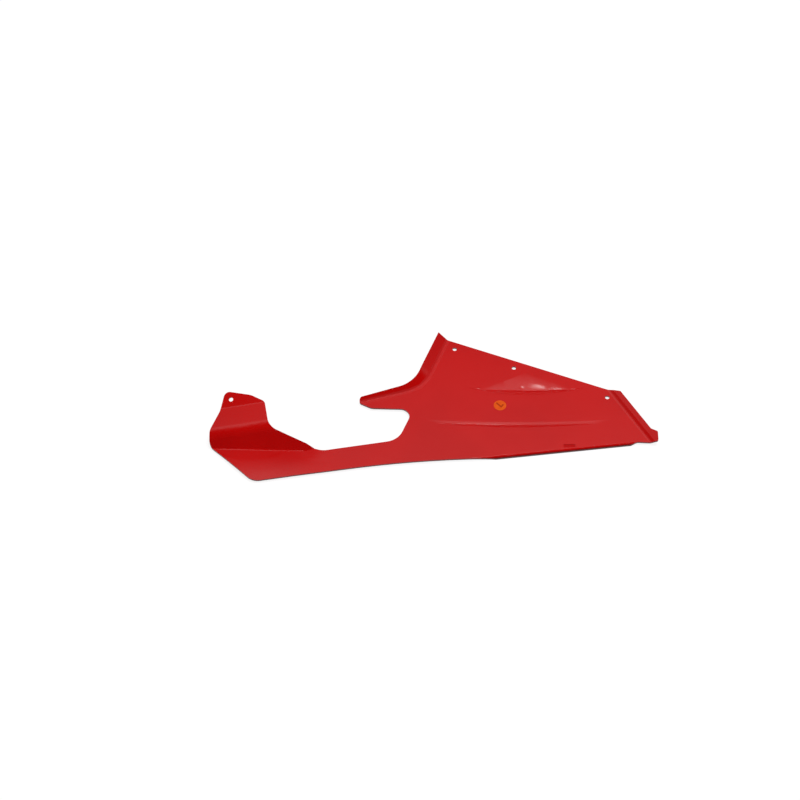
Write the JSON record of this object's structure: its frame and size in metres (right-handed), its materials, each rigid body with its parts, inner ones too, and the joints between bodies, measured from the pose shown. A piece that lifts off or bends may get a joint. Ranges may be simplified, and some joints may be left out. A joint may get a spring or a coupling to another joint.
{
  "type": "motorcycle belly pan half",
  "caption": "Moulded red half of a motorcycle belly pan: a ribbed side plate with a turned fork edge, an exhaust notch and a long arm to a folded tail with a screw tab.",
  "frame": {"origin": "axis of the rear screw hole in the upper edge, at the inner face", "axes": "+X forward along the machine, +Y from the keel edge to the upper edge, +Z off the inner face; the panel lies on its outer face"},
  "size_m": [0.705, 0.2875, 0.0342],
  "materials": {
    "red_skin": "moulded in colour, smooth and glossy",
    "orange_paper": "matte, with a short pen stroke"
  },
  "bodies": {
    "root": {"belly_pan_panel": "red_skin", "inspection_sticker": "orange_paper"}
  },
  "joints": []
}
